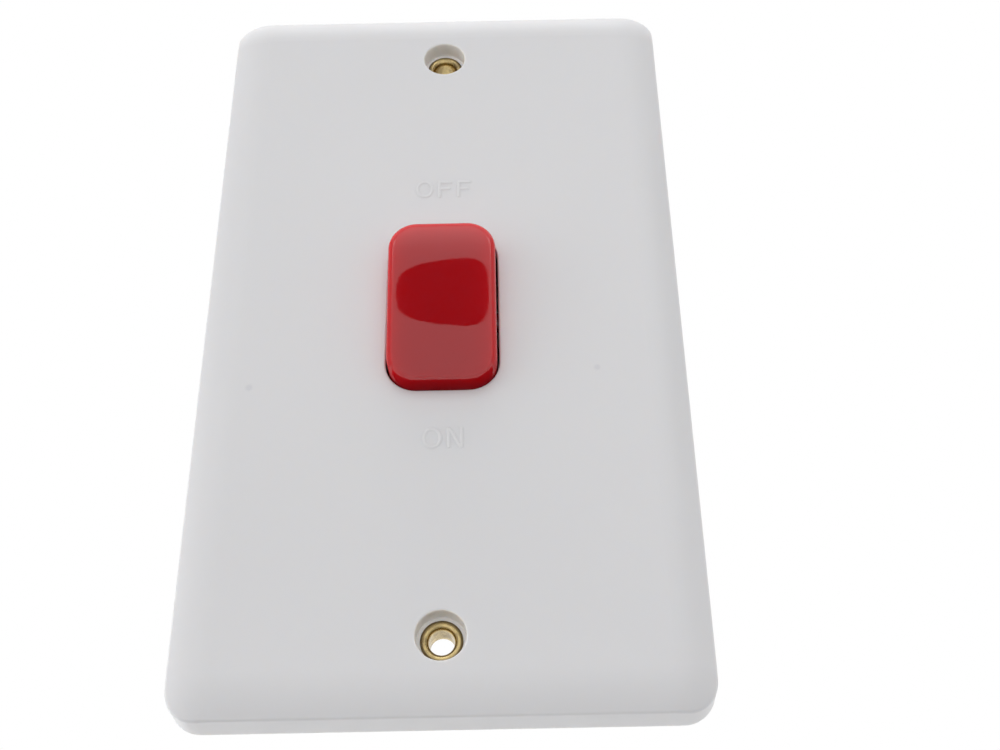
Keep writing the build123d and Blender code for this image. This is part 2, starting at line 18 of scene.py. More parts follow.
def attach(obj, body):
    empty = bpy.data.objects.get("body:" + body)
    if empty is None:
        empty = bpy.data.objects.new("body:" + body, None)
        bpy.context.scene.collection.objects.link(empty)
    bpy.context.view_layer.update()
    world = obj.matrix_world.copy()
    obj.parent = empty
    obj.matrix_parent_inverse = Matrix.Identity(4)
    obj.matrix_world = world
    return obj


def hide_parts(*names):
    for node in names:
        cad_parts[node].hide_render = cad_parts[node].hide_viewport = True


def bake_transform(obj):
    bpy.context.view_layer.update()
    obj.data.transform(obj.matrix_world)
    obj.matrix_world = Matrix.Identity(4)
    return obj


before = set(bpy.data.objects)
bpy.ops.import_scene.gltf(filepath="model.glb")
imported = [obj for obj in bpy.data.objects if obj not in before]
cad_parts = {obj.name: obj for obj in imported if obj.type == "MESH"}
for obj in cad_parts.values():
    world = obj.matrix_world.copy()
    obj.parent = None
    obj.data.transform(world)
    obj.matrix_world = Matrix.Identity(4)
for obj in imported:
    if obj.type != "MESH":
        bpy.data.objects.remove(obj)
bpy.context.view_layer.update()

MM = 0.001
Colour = tuple[float, float, float]
Point = tuple[float, float, float]
Span = tuple[float, float]
Stop = tuple[float, object]
BLACK = (0.0, 0.0, 0.0, 1.0)
WHITE = (1.0, 1.0, 1.0, 1.0)
RIGHTWARD = (1.0, 0.0, 0.0)
IN_WALL_PLANE = (1.0, 0.0, 1.0)
log = logging.getLogger("double_pole_switch")


class NodeSheet:
    """A node tree, with short calls for the nodes that the finishes and the sky share."""

    def __init__(self, tree: bpy.types.NodeTree, place: str) -> None:
        """Takes a tree, and the texture coordinate that places its patterns."""
        self.tree = tree
        self.place = self.node("ShaderNodeTexCoord").outputs[place]

    def node(self, kind: str, **settings: object) -> bpy.types.Node:
        """Adds a node of a kind and sets its own options.

        Args:
            kind: the node's type name.
            settings: options of the node, by name.

        Returns:
            The new node.
        """
        made = self.tree.nodes.new(kind)
        for option, value in settings.items():
            setattr(made, option, value)
        return made

    def feed(self, socket: bpy.types.NodeSocket, value: object) -> None:
        """Links a socket to another one, or sets it to a plain value.

        Args:
            socket: the input to fill.
            value: an output to link, or a constant.
        """
        if isinstance(value, bpy.types.NodeSocket):
            self.tree.links.new(value, socket)
        else:
            socket.default_value = value

    def joined(self, kind: str, first: object, second: object) -> bpy.types.NodeSocket:
        """Joins two numbers by an arithmetic kind such as ADD, MULTIPLY or MAXIMUM.

        Args:
            kind: the arithmetic.
            first: the first number.
            second: the second number.

        Returns:
            The joined number.
        """
        made = self.node("ShaderNodeMath", operation=kind)
        self.feed(made.inputs[0], first)
        self.feed(made.inputs[1], second)
        return made.outputs[0]

    def vector(self, kind: str, first: object, second: object = None) -> bpy.types.Node:
        """Joins two places or directions by a vector kind such as ADD or DOT_PRODUCT.

        Args:
            kind: the vector arithmetic.
            first: the first vector.
            second: the second vector, where the kind has one.

        Returns:
            The node, whose first output is a vector and whose Value is a number.
        """
        made = self.node("ShaderNodeVectorMath", operation=kind)
        self.feed(made.inputs[0], first)
        if second is not None:
            self.feed(made.inputs[1], second)
        return made

    def shown(self) -> bpy.types.NodeSocket:
        """Tells the rays that show a thing: from the camera, a gloss or a clear body.

        Returns:
            One for such a ray, and else zero.
        """
        path = self.node("ShaderNodeLightPath").outputs
        straight = self.joined("MAXIMUM", path["Is Camera Ray"], path["Is Glossy Ray"])
        return self.joined("MAXIMUM", straight, path["Is Transmission Ray"])

    def layered(self, share: object, first: object, second: object) -> bpy.types.NodeSocket:
        """Mixes two shaders.

        Args:
            share: how much goes to the second.
            first: one shader.
            second: the other shader.

        Returns:
            The mixed shader.
        """
        made = self.node("ShaderNodeMixShader")
        for socket, value in zip(made.inputs, (share, first, second)):
            self.feed(socket, value)
        return made.outputs[0]

    def spread(self, value: object, low: Stop, high: Stop) -> bpy.types.NodeSocket:
        """Carries a number smoothly from one range to another.

        Args:
            value: the number to carry.
            low: the value at the range's start, and what it becomes.
            high: the value at the range's end, and what it becomes.

        Returns:
            The carried number.
        """
        made = self.node("ShaderNodeMapRange", interpolation_type="SMOOTHSTEP")
        self.feed(made.inputs["Value"], value)
        self.feed(made.inputs["From Min"], low[0])
        self.feed(made.inputs["From Max"], high[0])
        self.feed(made.inputs["To Min"], low[1])
        self.feed(made.inputs["To Max"], high[1])
        return made.outputs["Result"]

    def placed(self, centre: Point, stretch: Point = (1.0, 1.0, 1.0)) -> bpy.types.NodeSocket:
        """Coordinates measured from a centre and stretched along each axis."""
        away = self.vector("SUBTRACT", self.place, centre).outputs[0]
        return self.vector("MULTIPLY", away, stretch).outputs[0]

    def along(self, origin: Point, direction: Point) -> bpy.types.NodeSocket:
        """How far a point stands from an origin along a direction."""
        return self.vector("DOT_PRODUCT", self.placed(origin), direction).outputs["Value"]

    def fading(self, distance: object, reach: float, share: float) -> bpy.types.NodeSocket:
        """A share that falls by a factor of e with each reach of distance."""
        fallen = self.joined("POWER", math.exp(-1.0), self.joined("DIVIDE", distance, reach))
        return self.joined("MULTIPLY", fallen, share)

    def noise(
        self, pitch: float, detail: float = 2.0, place: object = None
    ) -> bpy.types.NodeSocket:
        """Gives soft noise from 0 to 1.

        Args:
            pitch: width of one blot, in metres.
            detail: how many finer layers it has.
            place: coordinates that it varies over, if not the tree's own.

        Returns:
            The noise.
        """
        made = self.node("ShaderNodeTexNoise")
        self.feed(made.inputs["Vector"], place or self.place)
        self.feed(made.inputs["Scale"], 1.0 / pitch)
        self.feed(made.inputs["Detail"], detail)
        return made.outputs["Fac"]

    def distance(self, place: object) -> bpy.types.NodeSocket:
        """Length of a placed coordinate, so the distance from its centre."""
        return self.vector("LENGTH", place).outputs["Value"]

    def blend(self, share: object, first: object, second: object) -> bpy.types.NodeSocket:
        """Mixes two colours.

        Args:
            share: how much goes to the second.
            first: one colour.
            second: the other colour.

        Returns:
            The mixed colour.
        """
        made = self.node("ShaderNodeMix", data_type="RGBA")
        self.feed(made.inputs["Factor"], share)
        for socket, value in zip([s for s in made.inputs if s.type == "RGBA"], (first, second)):
            self.feed(socket, value if isinstance(value, bpy.types.NodeSocket) else (*value, 1.0))
        return next(s for s in made.outputs if s.type == "RGBA")

    def bump(self, height: object, depth: float, normal: object = None) -> bpy.types.NodeSocket:
        """Turns a surface's direction as if a height were raised on it.

        Args:
            height: a number from 0 to 1 over the surface.
            depth: what a height of 1 stands for, in metres.
            normal: the direction to turn, if not the mesh's own.

        Returns:
            The turned direction.
        """
        made = self.node("ShaderNodeBump")
        self.feed(made.inputs["Height"], height)
        self.feed(made.inputs["Distance"], depth)
        if normal is not None:
            self.feed(made.inputs["Normal"], normal)
        return made.outputs["Normal"]


class FinishSheet(NodeSheet):
    """The node tree of a material, placed by object coordinates."""

    def __init__(self, name: str) -> None:
        """Makes a material with one shader.

        Args:
            name: the material's name.
        """
        self.material = bpy.data.materials.new(name)
        self.material.use_nodes = True
        super().__init__(self.material.node_tree, "Object")
        self.shader = self.tree.nodes["Principled BSDF"]

    def paint(self, socket: str, value: object) -> None:
        """Feeds one of the shader's own sockets."""
        self.feed(self.shader.inputs[socket], value)


@dataclass(frozen=True)
class SinkMark:
    """A faint round dimple that a moulding's boss leaves on its face.

    Its floor is flat out to a share of its radius.
    """

    centre: Point
    radius: float
    depth: float
    floor_share: float = 0.3


@dataclass(frozen=True)
class Hollow:
    """A round well sunk along Y, whose plastic is painted paler inside it, as painted light that
    stands for light bouncing about in it.

    Its painted tone is gone at the edge, told as a share of the radius.
    """

    centre: Point
    radius: float
    # paler tone painted in the well as painted bounce light
    tone: Colour
    edge_share: float = 1.05

    def tint(self, sheet: FinishSheet, tone: object) -> bpy.types.NodeSocket:
        """Paints the hollow's paler tone inside its radius, as painted bounce light.

        Args:
            sheet: the material's nodes.
            tone: the plastic's colour elsewhere.

        Returns:
            The colour of both.
        """
        away = sheet.distance(sheet.placed(self.centre, IN_WALL_PLANE))
        share = sheet.spread(away, (self.radius, 1.0), (self.edge_share * self.radius, 0.0))
        # painted bounce light: the well is painted in its paler tone
        return sheet.blend(share, tone, self.tone)


@dataclass(frozen=True)
class CapSides:
    """Edges of a long cap: duller sides, a soft lower end, and painted light at the rim, a brighter
    red painted as if light soaked in.

    Places are told from the pivot: how far a point stands out along the face's
    direction, how far it is from the upper end, and how far from the nearer side.
    A painted light is its reach and its share at the edge. Where the cosine between the
    surface and the upward direction lies in the span named under, the surface passes
    into the lower end, and over the span named upper it passes into the upper end.
    """

    pivot: Point
    outward: Point
    upward: Point
    half: Span
    dull_at: float
    glossy_at: float
    roughness: float
    soft_end: float
    # brighter red painted near the sides and the upper end, as painted light
    rim_painted_light_tone: Colour
    side_painted_light: Span
    end_painted_light: Span
    under: Span = (-0.4, -0.1)
    upper: Span = (0.5, 0.9)

    def facing(self, sheet: FinishSheet, direction: Point) -> bpy.types.NodeSocket:
        """Cosine between the surface's own direction and another."""
        faced = sheet.node("ShaderNodeNewGeometry").outputs["Normal"]
        return sheet.vector("DOT_PRODUCT", faced, direction).outputs["Value"]

    def gloss(self, sheet: FinishSheet, face: bpy.types.NodeSocket) -> bpy.types.NodeSocket:
        """Passes from the sides' own roughness to that of the face and the lower end.

        Args:
            sheet: the material's nodes.
            face: roughness of the face.

        Returns:
            The roughness of the whole cap.
        """
        out = sheet.along(self.pivot, self.outward)
        side = sheet.spread(out, (self.dull_at, self.roughness), (self.glossy_at, face))
        up = self.facing(sheet, self.upward)
        return sheet.spread(up, (self.under[0], face), (self.under[1], side))

    def tint(self, sheet: FinishSheet, tone: object) -> bpy.types.NodeSocket:
        """Paints light into the plastic: a brighter red near the upper end and the sides.

        Each share falls by a factor of e with each reach of distance from its edge.

        Args:
            sheet: the material's nodes.
            tone: the plastic's colour elsewhere.

        Returns:
            The colour of the whole cap.
        """
        beside = sheet.joined("ABSOLUTE", sheet.along(self.pivot, RIGHTWARD), 0.0)
        side = sheet.fading(sheet.joined("SUBTRACT", self.half[0], beside), *self.side_painted_light)
        above = sheet.along(self.pivot, self.upward)
        end = sheet.fading(sheet.joined("SUBTRACT", self.half[1], above), *self.end_painted_light)
        up = self.facing(sheet, self.upward)
        seen = sheet.spread(up, (self.upper[0], 1.0), (self.upper[1], 0.0))
        # painted light: brighter red painted near the sides and the upper end
        share = sheet.joined("MULTIPLY", sheet.joined("ADD", side, end), seen)
        return sheet.blend(share, tone, self.rim_painted_light_tone)

    def normal(self, sheet: FinishSheet) -> bpy.types.NodeSocket:
        """Holds the surface's direction to a soft round where the lower end turns under.

        Where the surface faces out by o and so aside by the root of 1 - o^2, it is
        turned out until o is at least the soft end's share of that.

        Args:
            sheet: the material's nodes.

        Returns:
            The held direction.
        """
        faced = sheet.node("ShaderNodeNewGeometry").outputs["Normal"]
        out = self.facing(sheet, self.outward)
        rest = sheet.joined("SUBTRACT", 1.0, sheet.joined("MULTIPLY", out, out))
        aside = sheet.joined("MULTIPLY", sheet.joined("POWER", rest, 0.5), self.soft_end)
        short = sheet.joined("MAXIMUM", sheet.joined("SUBTRACT", aside, out), 0.0)
        up = self.facing(sheet, self.upward)
        lower = sheet.spread(up, (self.under[0], 1.0), (self.under[1], 0.0))
        push = sheet.vector("SCALE", self.outward)
        sheet.feed(push.inputs["Scale"], sheet.joined("MULTIPLY", short, lower))
        leaned = sheet.vector("ADD", faced, push.outputs[0])
        return sheet.vector("NORMALIZE", leaned.outputs[0]).outputs[0]


@dataclass(frozen=True)
class Moulding:
    """A moulded plastic: two close tones, a fine spark-eroded grain and slow waviness.

    The grain and the waviness are noise raised as bump, and each sink mark lowers
    the face by a smooth bowl of its own radius and is painted darker there, as painted
    shade of the bowl. The polish varies more finely than the tones, over a span of its
    own noise.
    """

    name: str
    tone: Colour
    other_tone: Colour
    tone_pitch: float
    roughness: Span
    grain_pitch: float
    grain_depth: float
    wave_pitch: float
    wave_depth: float
    ior: float = 1.5
    glow: float = 0.0
    glow_reach: Colour = (0.5 * MM, 0.5 * MM, 0.5 * MM)
    marks: tuple[SinkMark, ...] = ()
    # painted shade of the sink marks' bowls
    mark_painted_shade: Colour = (0.5, 0.5, 0.5)
    mark_painted_shade_share: float = 0.0
    hollows: tuple[Hollow, ...] = ()
    sides: CapSides | None = None
    tone_detail: float = 3.0
    wave_detail: float = 1.0
    gloss_finer: float = 3.0
    gloss_span: Span = (0.3, 0.7)

    def material(self) -> bpy.types.Material:
        """Builds the node material of this plastic.

        Returns:
            The material.
        """
        sheet = FinishSheet(self.name)
        tone = sheet.blend(
            sheet.noise(self.tone_pitch, self.tone_detail), self.tone, self.other_tone
        )
        ground = self.sides.normal(sheet) if self.sides else None
        wave = sheet.noise(self.wave_pitch, self.wave_detail)
        waved = sheet.bump(wave, self.wave_depth, ground)
        normal = sheet.bump(sheet.noise(self.grain_pitch), self.grain_depth, waved)
        for mark in self.marks:
            away = sheet.distance(sheet.placed(mark.centre))
            floor = mark.floor_share * mark.radius
            bowl = sheet.spread(away, (floor, 0.0), (mark.radius, 1.0))
            normal = sheet.bump(bowl, mark.depth, normal)
            # painted shade: each bowl is painted darker, most over its floor
            share = sheet.spread(away, (floor, self.mark_painted_shade_share), (mark.radius, 0.0))
            tone = sheet.blend(share, tone, self.mark_painted_shade)
        polish = sheet.noise(self.tone_pitch / self.gloss_finer)
        gloss = sheet.spread(polish, *zip(self.gloss_span, self.roughness))
        # Painted light: the wells are painted paler, and a cap's sides and upper end brighter red.
        for hollow in self.hollows:
            tone = hollow.tint(sheet, tone)
        if self.sides:
            tone = self.sides.tint(sheet, tone)
            gloss = self.sides.gloss(sheet, gloss)
        sheet.paint("Base Color", tone)
        sheet.paint("Roughness", gloss)
        sheet.paint("Normal", normal)
        sheet.paint("IOR", self.ior)
        sheet.paint("Subsurface Weight", self.glow)
        sheet.paint("Subsurface Radius", self.glow_reach)
        sheet.paint("Subsurface Scale", 1.0)
        return sheet.material


class Lay(Enum):
    """Which way a metal's fine tool marks run."""

    TURNED = "rings about the piece's axis, which points at the wall"
    DRAWN = "lines along the length of the plate"
    TUMBLED = "no direction"


@dataclass(frozen=True)
class Metal:
    """A bare or plated metal: bright and dull tones, uneven polish and tool marks.

    Turned marks are noise over the distance from the axis and the depth, drawn marks
    are noise stretched along the length, and tumbled marks are even noise. The spans
    are the part of the noise over which the stain and the polish change.
    """

    name: str
    bright: Colour
    dull: Colour
    dull_share: float
    stain_pitch: float
    roughness: Span
    lay: Lay
    mark_pitch: float
    mark_depth: float
    axis: Point = (0.0, 0.0, 0.0)
    # span of painted shade, outward from the axis
    rim: Span = (0.0, 0.0)
    stain_detail: float = 4.0
    stain_span: Span = (0.35, 0.7)
    gloss_span: Span = (0.3, 0.7)
    drawn_share: float = 0.04

    def mark_place(self, sheet: NodeSheet) -> bpy.types.NodeSocket:
        """Finds the coordinates that the tool marks vary over, for this metal's lay.

        Args:
            sheet: the material's nodes.

        Returns:
            The coordinates.
        """
        if self.lay is Lay.TURNED:
            made = sheet.node("ShaderNodeCombineXYZ")
            flat = sheet.distance(sheet.placed(self.axis, IN_WALL_PLANE))
            sheet.feed(made.inputs["X"], flat)
            depth = sheet.node("ShaderNodeSeparateXYZ")
            sheet.feed(depth.inputs[0], sheet.place)
            sheet.feed(made.inputs["Y"], depth.outputs["Y"])
            return made.outputs[0]
        if self.lay is Lay.DRAWN:
            return sheet.placed(self.axis, (1.0, 1.0, self.drawn_share))
        return sheet.place

    def material(self) -> bpy.types.Material:
        """Builds the node material of this metal.

        A rim, where it has one, is painted dull as painted shade, more and more from the
        rim's first distance from the axis to its second and fully beyond it.

        Returns:
            The material.
        """
        sheet = FinishSheet(self.name)
        stain = sheet.noise(self.stain_pitch, self.stain_detail)
        share = sheet.spread(stain, *zip(self.stain_span, (0.0, self.dull_share)))
        # painted shade: beyond the rim the metal is painted dull, on top of its stains
        if self.rim[1]:
            away = sheet.distance(sheet.placed(self.axis, IN_WALL_PLANE))
            painted_rim_shade = sheet.spread(away, (self.rim[0], 0.0), (self.rim[1], 1.0))
            share = sheet.joined("MAXIMUM", share, painted_rim_shade)
        marks = sheet.noise(self.mark_pitch, place=self.mark_place(sheet))
        gloss = sheet.spread(stain, *zip(self.gloss_span, self.roughness))
        sheet.paint("Base Color", sheet.blend(share, self.bright, self.dull))
        sheet.paint("Metallic", 1.0)
        sheet.paint("Roughness", gloss)
        sheet.paint("Normal", sheet.bump(marks, self.mark_depth))
        return sheet.material


def dress(name: str, material: bpy.types.Material) -> None:
    """Gives a CAD node its finish.

    Args:
        name: the node's name.
        material: the finish.
    """
    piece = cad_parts[name]
    piece.data.materials.clear()
    piece.data.materials.append(material)
    log.info("%s wears %s", name, material.name)


def meshed(name: str, points: np.ndarray, faces: list[list[int]]) -> bpy.types.Object:
    """Makes an object whose place is in its mesh.

    Args:
        name: the object's name.
        points: places, one to a row.
        faces: point numbers of each face.

    Returns:
        The new object.
    """
    mesh = bpy.data.meshes.new(name)
    mesh.from_pydata(points.tolist(), [], faces)
    made = bpy.data.objects.new(name, mesh)
    bpy.context.scene.collection.objects.link(made)
    log.info("%s has %d faces", name, len(faces))
    return made


def staged(name: str, points: np.ndarray, faces: list[list[int]]) -> bpy.types.Object:
    """Makes a mesh for the stage, such as the floor or a card, just as meshed does.

    Args:
        name: the object's name.
        points: places, one to a row.
        faces: point numbers of each face.

    Returns:
        The new object.
    """
    thing = meshed(name, points, faces)
    return thing


def grid_quads(rows: int, columns: int, closed_rows: bool) -> np.ndarray:
    """Quads between the points of a grid whose columns run round a closed loop.

    Quad (i, j) joins points (i, j), (i, j + 1), (i + 1, j + 1) and (i + 1, j).

    Args:
        rows: lines of points.
        columns: points in each line, where the last is joined to the first.
        closed_rows: whether the last line is joined to the first.

    Returns:
        Point numbers, four to a row.
    """
    lines = rows if closed_rows else rows - 1
    i, j = np.meshgrid(np.arange(lines), np.arange(columns), indexing="ij")
    after, beside = (i + 1) % rows, (j + 1) % columns
    corners = (i * columns + j, i * columns + beside, after * columns + beside, after * columns + j)
    return np.stack(corners, axis=-1).reshape(-1, 4)


def loop_normals(loop: np.ndarray) -> np.ndarray:
    """Mitre vectors that point into a closed counter-clockwise loop.

    Each is (n1 + n2) / (1 + n1 . n2), where n1 and n2 are the inward normals of the
    two edges at a point, so a step of d along it moves both edges by d.

    Args:
        loop: points in the plane, one to a row.

    Returns:
        One mitre vector to a point.
    """
    edge = np.roll(loop, -1, axis=0) - loop
    edge /= np.linalg.norm(edge, axis=1, keepdims=True)
    after = np.stack([-edge[:, 1], edge[:, 0]], axis=1)
    before = np.roll(after, 1, axis=0)
    return (before + after) / (1.0 + np.sum(before * after, axis=1, keepdims=True))


class Glyph(Enum):
    """Letters of the two words on the plate."""

    O = "ring"
    F = "stem with two arms"
    N = "two stems and a diagonal"


@dataclass(frozen=True)
class RaisedWord:
    """A word moulded on the plate's face, its letters low with soft edges.

    A letter is an edge profile, a short drafted foot and a soft ramp, carried
    round the letter's outline and closed over the top; the ring is a closed profile
    carried round a superellipse.
    """

    name: str
    letters: tuple[Glyph, ...]
    middle: Point
    cap: float = 4.1 * MM
    gap: float = 0.72 * MM
    stroke: float = 0.75 * MM
    rise: float = 0.1 * MM
    sunk: float = 0.05 * MM
    draft: float = 0.02 * MM
    edge_w: float = 0.25 * MM
    ring_width: float = 3.45 * MM
    arm_width: float = 2.85 * MM
    stem_width: float = 2.95 * MM
    arm_height: float = 0.44
    arm_share: float = 0.88
    slant_share: float = 0.36
    ring_power: float = 2.25
    ring_points: int = 96
    edge_points: int = 9

    def width_of(self, letter: Glyph) -> float:
        """Width of a letter."""
        return {Glyph.O: self.ring_width, Glyph.F: self.arm_width, Glyph.N: self.stem_width}[letter]

    def edge(self) -> np.ndarray:
        """Edge profile as rows of inset and rise, from under the face up to the flat top.

        The ramp is inset d + w u and rise h (3 u^2 - 2 u^3), with u from 0 to 1.

        Returns:
            Inset and rise of each point.
        """
        share = np.linspace(0.0, 1.0, self.edge_points)
        inset = self.draft + self.edge_w * share
        rise = self.rise * share**2 * (3.0 - 2.0 * share)
        return np.concatenate([[[0.0, -self.sunk]], np.stack([inset, rise], axis=1)])

    def outline(self, letter: Glyph) -> np.ndarray:
        """Draws a straight-sided letter, counter-clockwise from its lower left corner.

        Args:
            letter: the letter, not the ring.

        Returns:
            Corners in the plane, one to a row.
        """
        w, h, s = self.width_of(letter), self.cap, self.stroke
        if letter is Glyph.F:
            low, arm = self.arm_height * h, self.arm_share * w
            return np.array([
                (0, 0), (s, 0), (s, low), (arm, low), (arm, low + s),
                (s, low + s), (s, h - s), (w, h - s), (w, h), (0, h),
            ])
        slant = self.slant_share * h
        return np.array([
            (0, 0), (s, 0), (s, h - slant), (w - s, 0), (w, 0),
            (w, h), (w - s, h), (w - s, slant), (s, h), (0, h),
        ])

    def ring(self) -> tuple[np.ndarray, list[list[int]]]:
        """Ring letter: the closed section carried round a superellipse.

        The middle line is a |cos t|^(2/p) and b |sin t|^(2/p) with their signs, and
        the section runs from the outer foot over the top to the inner foot.

        Returns:
            Points as plan and rise, and faces.
        """
        turn = np.linspace(0.0, 2.0 * np.pi, self.ring_points, endpoint=False)
        wave = np.stack([np.cos(turn), np.sin(turn)], axis=1)
        half = np.array([self.ring_width - self.stroke, self.cap - self.stroke]) / 2.0
        line = half * np.sign(wave) * np.abs(wave) ** (2.0 / self.ring_power)
        mitre = loop_normals(line)
        edge = self.edge()
        across = np.concatenate([edge[:, 0], self.stroke - edge[::-1, 0]]) - self.stroke / 2.0
        rise = np.concatenate([edge[:, 1], edge[::-1, 1]])
        plan = line[None] + across[:, None, None] * mitre[None] + half + self.stroke / 2.0
        height = np.broadcast_to(rise[:, None, None], (*plan.shape[:2], 1))
        points = np.concatenate([plan, height], axis=2).reshape(-1, 3)
        return points, grid_quads(len(rise), self.ring_points, True).tolist()

    def straight(self, letter: Glyph) -> tuple[np.ndarray, list[list[int]]]:
        """Straight-sided letter: the edge profile carried round its outline and capped.

        Args:
            letter: the letter, not the ring.

        Returns:
            Points as plan and rise, and faces.
        """
        loop = self.outline(letter)
        edge = self.edge()
        plan = loop[None] + edge[:, 0, None, None] * loop_normals(loop)[None]
        rise = np.broadcast_to(edge[:, 1, None, None], (*plan.shape[:2], 1))
        count = len(loop)
        faces = grid_quads(len(edge), count, False).tolist()
        faces.append(list(range((len(edge) - 1) * count, len(edge) * count)))
        faces.append(list(range(count))[::-1])
        return np.concatenate([plan, rise], axis=2).reshape(-1, 3), faces

    def build(self, material: bpy.types.Material) -> bpy.types.Object:
        """Builds the word as one mesh on the plate, riding on the base.

        Args:
            material: the lettering's finish.

        Returns:
            The word's object.
        """
        total = sum(map(self.width_of, self.letters)) + self.gap * (len(self.letters) - 1)
        start, points, faces = -total / 2.0, [], []
        for letter in self.letters:
            shape, quads = self.ring() if letter is Glyph.O else self.straight(letter)
            first = sum(map(len, points))
            faces += [[first + k for k in face] for face in quads]
            points.append(shape + np.array([start, -self.cap / 2.0, 0.0]))
            start += self.width_of(letter) + self.gap
        plan = np.concatenate(points)
        placed = np.stack([plan[:, 0], -plan[:, 2], plan[:, 1]], axis=1) + np.array(self.middle)
        piece = meshed(self.name, placed, faces)
        piece.data.materials.append(material)
        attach(piece, "base")
        return piece


@dataclass(frozen=True)
class FrontPlate:
    """The white plate with its two raised words and the brass eyelets in its wells."""

    face_y: float = -8.1 * MM
    fixing_z: float = 60.3 * MM
    well_r: float = 4.05 * MM
    off_z: float = 27.0 * MM
    on_x: float = 0.15 * MM
    on_z: float = -25.9 * MM
    # painted bounce light: a paler tone painted in both wells
    well_painted_light_tone: Colour = (0.93, 0.9, 0.87)

    def plate_finish(self) -> Moulding:
        """Satin white moulding with two faint sink marks, painted shade in their bowls and painted
        bounce light in its wells.
        """
        return Moulding(
            "white_satin_moulding",
            tone=(0.74, 0.738, 0.752),
            other_tone=(0.765, 0.763, 0.775),
            tone_pitch=45 * MM,
            roughness=(0.3, 0.36),
            grain_pitch=0.35 * MM,
            grain_depth=0.0025 * MM,
            wave_pitch=14 * MM,
            wave_depth=0.012 * MM,
            ior=1.55,
            glow=0.6,
            glow_reach=(0.9 * MM, 0.8 * MM, 0.7 * MM),
            marks=(
                SinkMark((-33.4 * MM, self.face_y, -15.4 * MM), 0.9 * MM, 0.03 * MM),
                SinkMark((26.9 * MM, self.face_y, -12.7 * MM), 0.8 * MM, 0.02 * MM),
            ),
            # painted shade in the two sink marks
            mark_painted_shade=(0.62, 0.62, 0.66),
            mark_painted_shade_share=0.5,
            hollows=tuple(
                Hollow((0.0, 0.0, up * self.fixing_z), self.well_r, self.well_painted_light_tone)
                for up in (1.0, -1.0)
            ),
        )

    def eyelet_finish(self, name: str, up: float) -> Metal:
        """Turned brass, with its rings about one fixing hole.

        Args:
            name: the material's name.
            up: 1 for the upper hole and -1 for the lower.

        Returns:
            The finish.
        """
        return Metal(
            name,
            bright=(0.6, 0.465, 0.22),
            dull=(0.22, 0.165, 0.085),
            dull_share=0.7,
            stain_pitch=1.6 * MM,
            roughness=(0.16, 0.3),
            lay=Lay.TURNED,
            mark_pitch=0.18 * MM,
            mark_depth=0.012 * MM,
            axis=(0.0, 0.0, up * self.fixing_z),
            # painted shade on the brass outside its bright crest
            rim=(2.85 * MM, 3.2 * MM),
        )

    def build(self) -> None:
        """Dresses the plate and the eyelets and raises the words."""
        white = self.plate_finish()
        dress("front_plate", white.material())
        lettered = replace(white, name="white_lettering", glow=0.0, marks=(), hollows=()).material()
        off_middle = (0.0, self.face_y, self.off_z)
        RaisedWord("off_word", (Glyph.O, Glyph.F, Glyph.F), off_middle).build(lettered)
        on_middle = (self.on_x, self.face_y, self.on_z)
        RaisedWord("on_word", (Glyph.O, Glyph.N), on_middle).build(lettered)
        dress("upper_fixing_bush", self.eyelet_finish("upper_eyelet_brass", 1.0).material())
        dress("lower_fixing_bush", self.eyelet_finish("lower_eyelet_brass", -1.0).material())


@dataclass(frozen=True)
class PlungerSpring:
    """A coil from a plunger's cup to the roof of its sleeve.

    The middle line is the helix r cos t, r sin t, whose height grows evenly with t,
    and a circle of half the wire's width is carried along it, square to the line.
    """

    side: str
    foot: Point
    axis: Point
    length: float = 10.8 * MM
    radius: float = 1.05 * MM
    wire: float = 0.5 * MM
    turns: int = 6
    line_points: int = 145
    rim_points: int = 12

    def points(self) -> np.ndarray:
        """Works out the wire's surface.

        Returns:
            Places, one circle of points after another.
        """
        share = np.linspace(0.0, 1.0, self.line_points)[:, None]
        turn = 2.0 * np.pi * self.turns * share
        ahead = np.array(self.axis)
        beside = np.array(RIGHTWARD)
        above = np.cross(ahead, beside)
        outward = np.cos(turn) * beside + np.sin(turn) * above
        onward = np.cos(turn) * above - np.sin(turn) * beside
        along = 2.0 * np.pi * self.turns * self.radius * onward + self.length * ahead
        along /= np.linalg.norm(along, axis=1, keepdims=True)
        line = np.array(self.foot) + share * self.length * ahead + self.radius * outward
        rim = np.linspace(0.0, 2.0 * np.pi, self.rim_points, endpoint=False)[None, :, None]
        wall = np.cos(rim) * outward[:, None] + np.sin(rim) * np.cross(along, outward)[:, None]
        return (line[:, None] + self.wire / 2.0 * wall).reshape(-1, 3)

    def build(self, material: bpy.types.Material) -> bpy.types.Object:
        """Builds the coil between its plunger and the rocker.

        Args:
            material: the wire's finish.

        Returns:
            The coil's object.
        """
        points = self.points()
        ring = list(range(self.rim_points))
        faces = grid_quads(self.line_points, self.rim_points, False).tolist()
        faces += [ring[::-1], [len(points) - self.rim_points + k for k in ring]]
        piece = meshed(f"{self.side}_plunger_coil", points, faces)
        piece.data.shade_smooth()
        piece.data.materials.append(material)
        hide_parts(f"{self.side}_plunger_spring")
        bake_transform(piece)
        return piece


